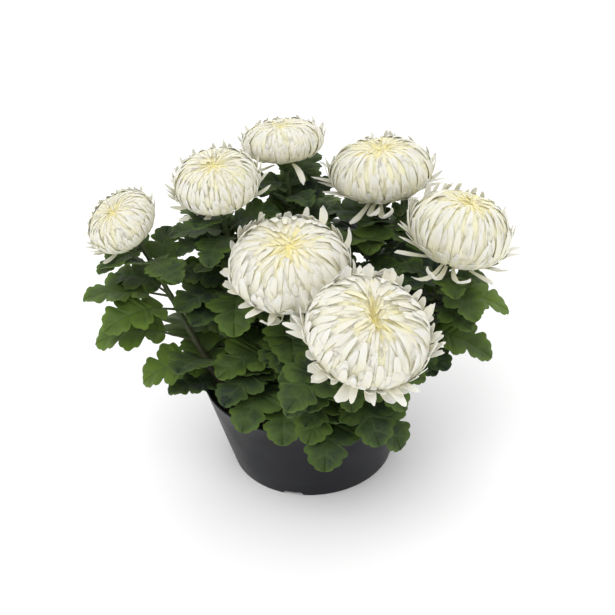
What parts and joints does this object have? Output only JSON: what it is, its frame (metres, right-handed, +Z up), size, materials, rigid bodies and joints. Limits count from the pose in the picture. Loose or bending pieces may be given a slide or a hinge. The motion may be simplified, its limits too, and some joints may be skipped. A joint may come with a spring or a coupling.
{
  "type": "pot chrysanthemum",
  "caption": "Flowering pot plant: leafy stems with large, round, incurved white flower heads, standing in soil in a dark tapered plastic pot that rests on its foot.",
  "frame": {"origin": "centre of the flat underside of the pot, where it rests on a surface", "axes": "+Z up along the pot's axis, -Y towards the front of the plant, +X to the right seen from the front"},
  "size_m": [0.3731, 0.3135, 0.2843],
  "materials": {
    "pot_plastic": "satin, very fine moulded grain",
    "soil": "dark moist peat, crumbly",
    "leaf_green": "matt, softly veined",
    "petal_white": "soft matt, creamy, yellow-green in the depths"
  },
  "bodies": {
    "root": {"pot": "pot_plastic", "soil": "soil", "stem_1": "leaf_green", "stem_2": "leaf_green", "stem_3": "leaf_green", "stem_4": "leaf_green", "stem_5": "leaf_green", "stem_6": "leaf_green", "stem_7": "leaf_green", "bloom_1": "petal_white", "bloom_2": "petal_white", "bloom_3": "petal_white", "bloom_4": "petal_white", "bloom_5": "petal_white", "bloom_6": "petal_white", "bloom_7": "petal_white"}
  },
  "joints": []
}
